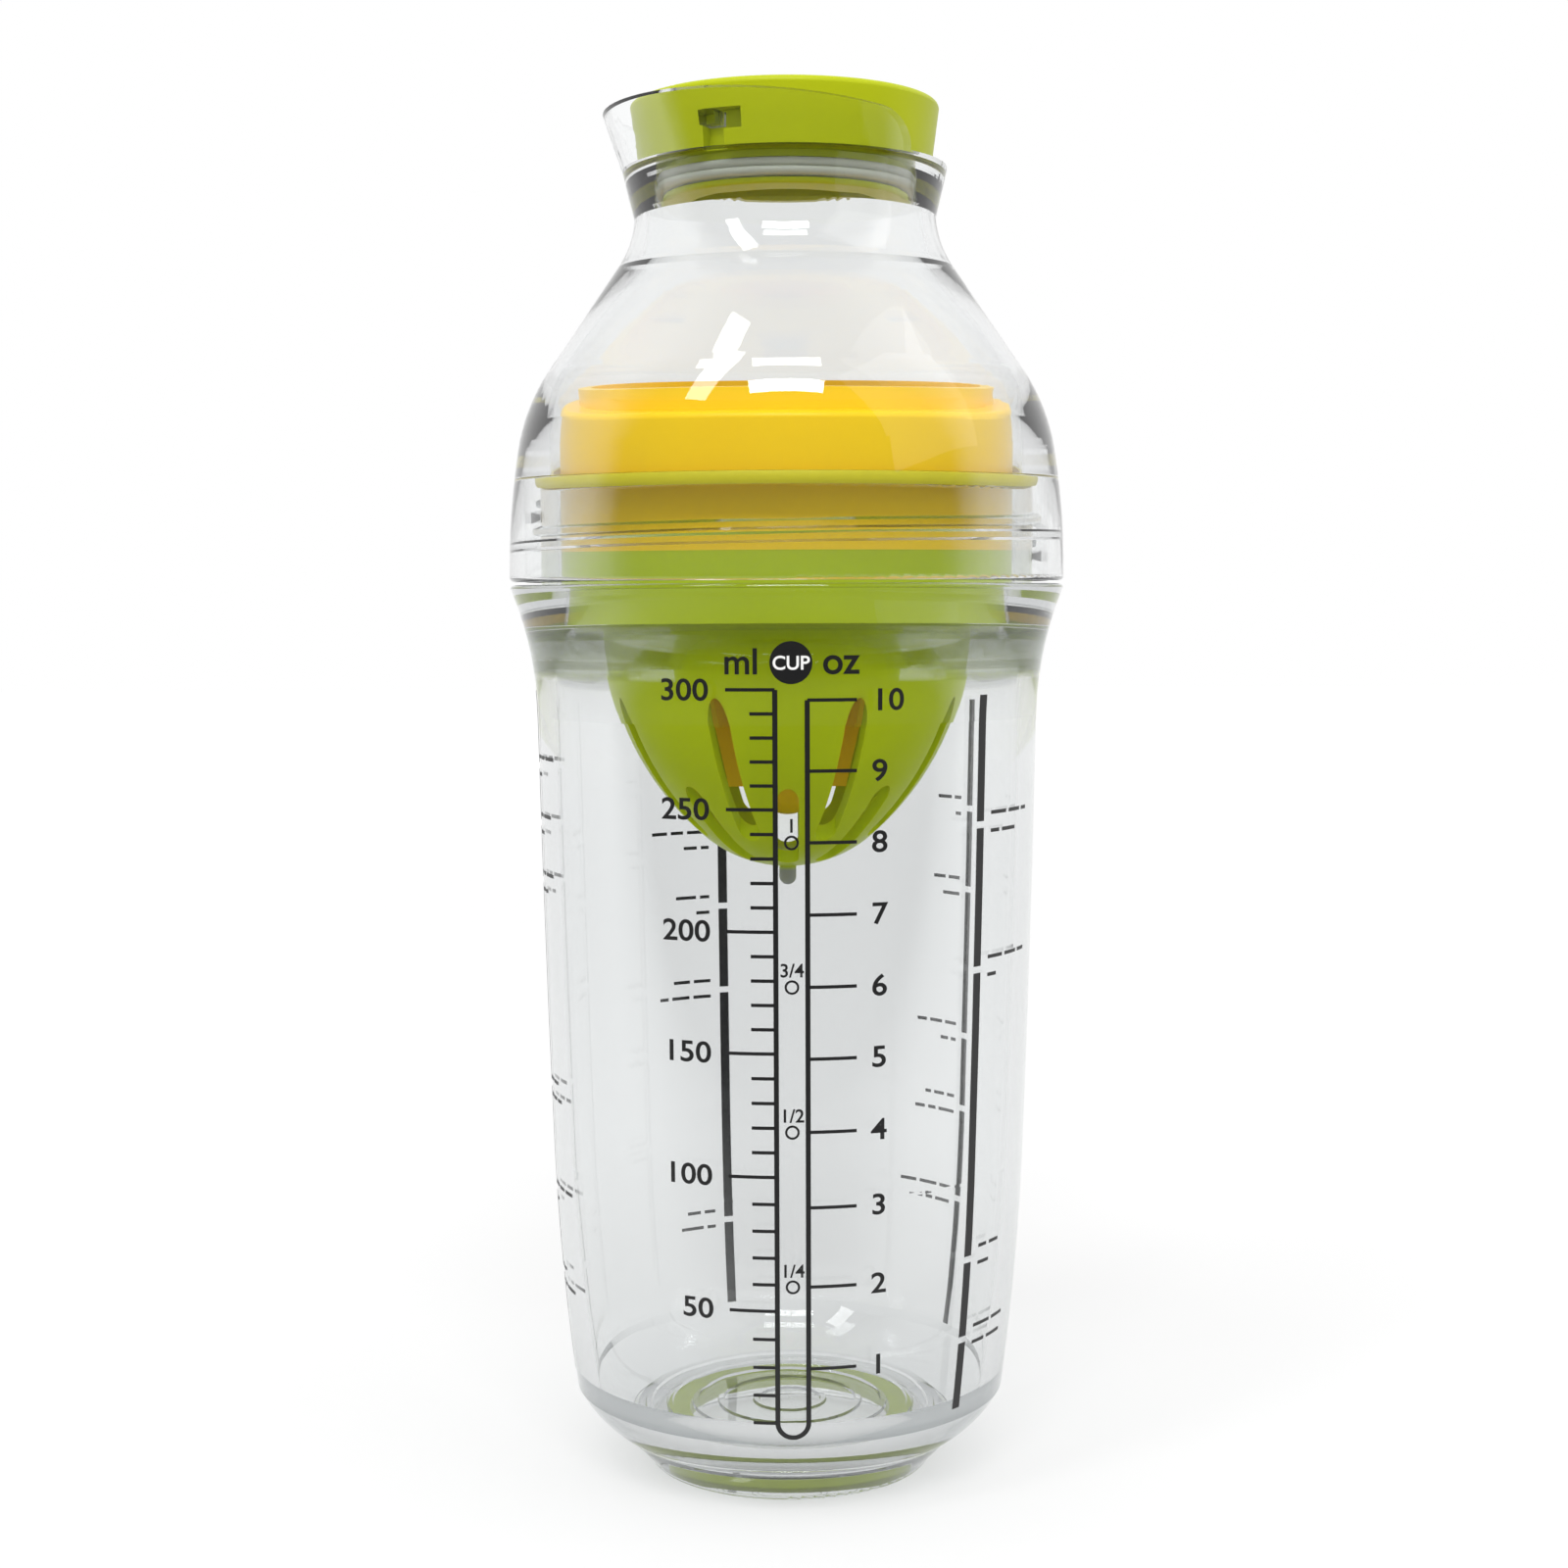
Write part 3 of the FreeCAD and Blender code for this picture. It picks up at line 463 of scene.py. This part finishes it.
# %% Word on the disc
WORD_LIFT, WORD_FOOT, WORD_HEIGHT = 0.1 * MM, 114.15, 1.7
word_ink = bmesh.new()
print_words(word_ink, "CUP", MIDDLE, WORD_FOOT, WORD_HEIGHT, "CENTER", lift=WORD_LIFT)
ink_piece("printed_cup_word", word_ink, inks["white"])

# %% [markdown]
# ## Studio
# The bottle stands on a pale floor in front of white. Clear plastic shows mostly what is around it, so the
# white must also be there for rays that pass through the walls or glance off them. A real studio is white
# behind the object, dim on the camera's side and darker overhead. The camera's side is dimmed only for rays
# that were mirrored on their way. That gives the plastic its grey edges and keeps the reflections on its
# front from veiling the colours, while the bottle still looks clear from behind.

# %% Room
WHITE = (1, 1, 1, 1)
ROOM_LIGHT, OVERHEAD_LIGHT, FRONT_LIGHT = 1.0, 0.6, 0.22
world = bpy.data.worlds.new("white_studio")
scene.world = world
world.use_nodes = True
tree = world.node_tree
tree.nodes.clear()
path = add_node(tree, "ShaderNodeLightPath").outputs
aim = add_node(tree, "ShaderNodeTexCoord").outputs["Generated"]
way = add_node(tree, "ShaderNodeSeparateXYZ", {"Vector": aim}).outputs
overhead = ramp(tree, way["Z"], 0.7, 0.95, ROOM_LIGHT, OVERHEAD_LIGHT)
behind = ramp(tree, way["Y"], -0.3, 0.0, FRONT_LIGHT, ROOM_LIGHT)
mirrored = calculate(tree, "MINIMUM", path["Glossy Depth"], 1.0)
sides = mix_values(tree, mirrored, ROOM_LIGHT, behind)
room = calculate(tree, "MULTIPLY", overhead, sides)
seen = calculate(tree, "MAXIMUM", path["Is Glossy Ray"], path["Is Transmission Ray"])
strength = mix_values(tree, seen, ROOM_LIGHT, room)
strength = calculate(tree, "MAXIMUM", strength, path["Is Camera Ray"])
sky = add_node(tree, "ShaderNodeBackground", {"Color": WHITE, "Strength": strength})
add_node(tree, "ShaderNodeOutputWorld", {"Surface": sky.outputs["Background"]})
print("room light", ROOM_LIGHT, "and overhead", OVERHEAD_LIGHT)

# %% [markdown]
# ## Floor
# A photographer lights a white floor until it melts into the backdrop. Here the floor is plain matt paint
# that keeps the bottle's soft shadow, and a glow that lights nothing else brings it up to white, seen directly
# or in the plastic. The lamps reach less of the floor further out, so the glow grows with the distance from
# the bottle. Mirrored rays see the floor dimmed on the camera's side, as that side of the room is dim too.

# %% White floor
NEAR_GLOW, FAR_GLOW, FAR = 0.39, 0.58, 1.5
DIM_TO, DIM_FROM, DIM_SHARE = -0.25, -0.05, 0.95
FLOOR_REACH = 3.0
floor_paint, tree = new_material("matt_white_studio_floor")
path = add_node(tree, "ShaderNodeLightPath").outputs
seen = calculate(tree, "MAXIMUM", path["Is Camera Ray"], path["Is Glossy Ray"])
seen = calculate(tree, "MAXIMUM", seen, path["Is Transmission Ray"])
place = own_place(tree)
away = add_node(tree, "ShaderNodeVectorMath", {0: place}, operation="LENGTH").outputs["Value"]
glow = calculate(tree, "MULTIPLY", seen, ramp(tree, away, 0.0, FAR, NEAR_GLOW, FAR_GLOW))
lit = add_node(tree, "ShaderNodeEmission", {"Color": WHITE, "Strength": glow})
paint = add_node(tree, "ShaderNodeBsdfDiffuse", {"Color": linear("#B0B0B0")})
both = add_node(tree, "ShaderNodeAddShader", {0: lit.outputs["Emission"], 1: paint.outputs["BSDF"]})
depth = add_node(tree, "ShaderNodeSeparateXYZ", {"Vector": place}).outputs["Y"]
front = ramp(tree, depth, DIM_TO, DIM_FROM, DIM_SHARE, 0.0)
mirrored = calculate(tree, "MINIMUM", path["Glossy Depth"], 1.0)
dimmed = calculate(tree, "MULTIPLY", mirrored, front)
dark = add_node(tree, "ShaderNodeEmission", {"Color": WHITE, "Strength": 0.0})
surface = add_node(tree, "ShaderNodeMixShader", {
    0: dimmed, 1: both.outputs["Shader"], 2: dark.outputs["Emission"]})
add_node(tree, "ShaderNodeOutputMaterial", {"Surface": surface.outputs["Shader"]})
floor_mesh = bpy.data.meshes.new("studio_floor")
corners = [(x * FLOOR_REACH, y * FLOOR_REACH, 0) for x, y in ((-1, -1), (1, -1), (1, 1), (-1, 1))]
floor_mesh.from_pydata(corners, [], [(0, 1, 2, 3)])
floor_mesh.materials.append(floor_paint)
studio_floor = bpy.data.objects.new("studio_floor", floor_mesh)
scene.collection.objects.link(studio_floor)
print("floor of", 2 * FLOOR_REACH, "m")

# %% [markdown]
# ## Lamps
# Two soft boxes hang in front of the bottle, one above the camera and one to the left, and a larger, weaker
# one fills in from the right. Their reflections give the short bright bars on the dome and on the shoulder.

# %% Soft boxes
MIDDLE_HEIGHT = 0.11
for name, spot, size, watts in (
        ("front_soft_box", (0.0, -0.75, 1.05), (0.55, 0.16), 6.6),
        ("left_soft_box", (-0.5, -0.5, 1.1), (0.18, 0.6), 2.6),
        ("right_soft_box", (0.9, -0.4, 0.9), (1.0, 1.0), 2.2)):
    lamp = bpy.data.lights.new(name, "AREA")
    lamp.shape, lamp.size, lamp.size_y, lamp.energy = "RECTANGLE", size[0], size[1], watts
    box = bpy.data.objects.new(name, lamp)
    box.location = spot
    box.rotation_euler = (Vector((0, 0, MIDDLE_HEIGHT)) - Vector(spot)).to_track_quat("-Z", "Y").to_euler()
    scene.collection.objects.link(box)
    print(name, "of", watts, "W")

# %% [markdown]
# ## Camera
# The photograph was taken from close by, a little above the middle and tipped down by seven degrees, and then
# cropped, so the optical axis is below the middle of the frame. A vertical shift of the lens gives that crop.

# %% Camera at the photograph's place
PIXELS, FOCAL_PIXELS, AXIS_ROW = 1600, 2500, 917
CAMERA_PLACE = (-0.55 * MM, -344 * MM, 123.07 * MM)
TIP, ROLL = 7.0, -0.22
lens = bpy.data.cameras.new("photograph_camera")
lens.sensor_width = 36
lens.lens = FOCAL_PIXELS / PIXELS * lens.sensor_width
lens.shift_y = (AXIS_ROW - PIXELS / 2) / PIXELS
lens.clip_start, lens.clip_end = 0.01, 20
camera = bpy.data.objects.new("photograph_camera", lens)
camera.location = CAMERA_PLACE
camera.rotation_mode = "QUATERNION"
level_aim = Euler((math.radians(90 - TIP), 0, 0)).to_quaternion()
camera.rotation_quaternion = level_aim @ Quaternion((0, 0, 1), math.radians(ROLL))
scene.collection.objects.link(camera)
scene.camera = camera
scene.view_settings.view_transform = "Standard"
print("lens of", round(lens.lens, 2), "mm, shifted by", round(lens.shift_y, 4))
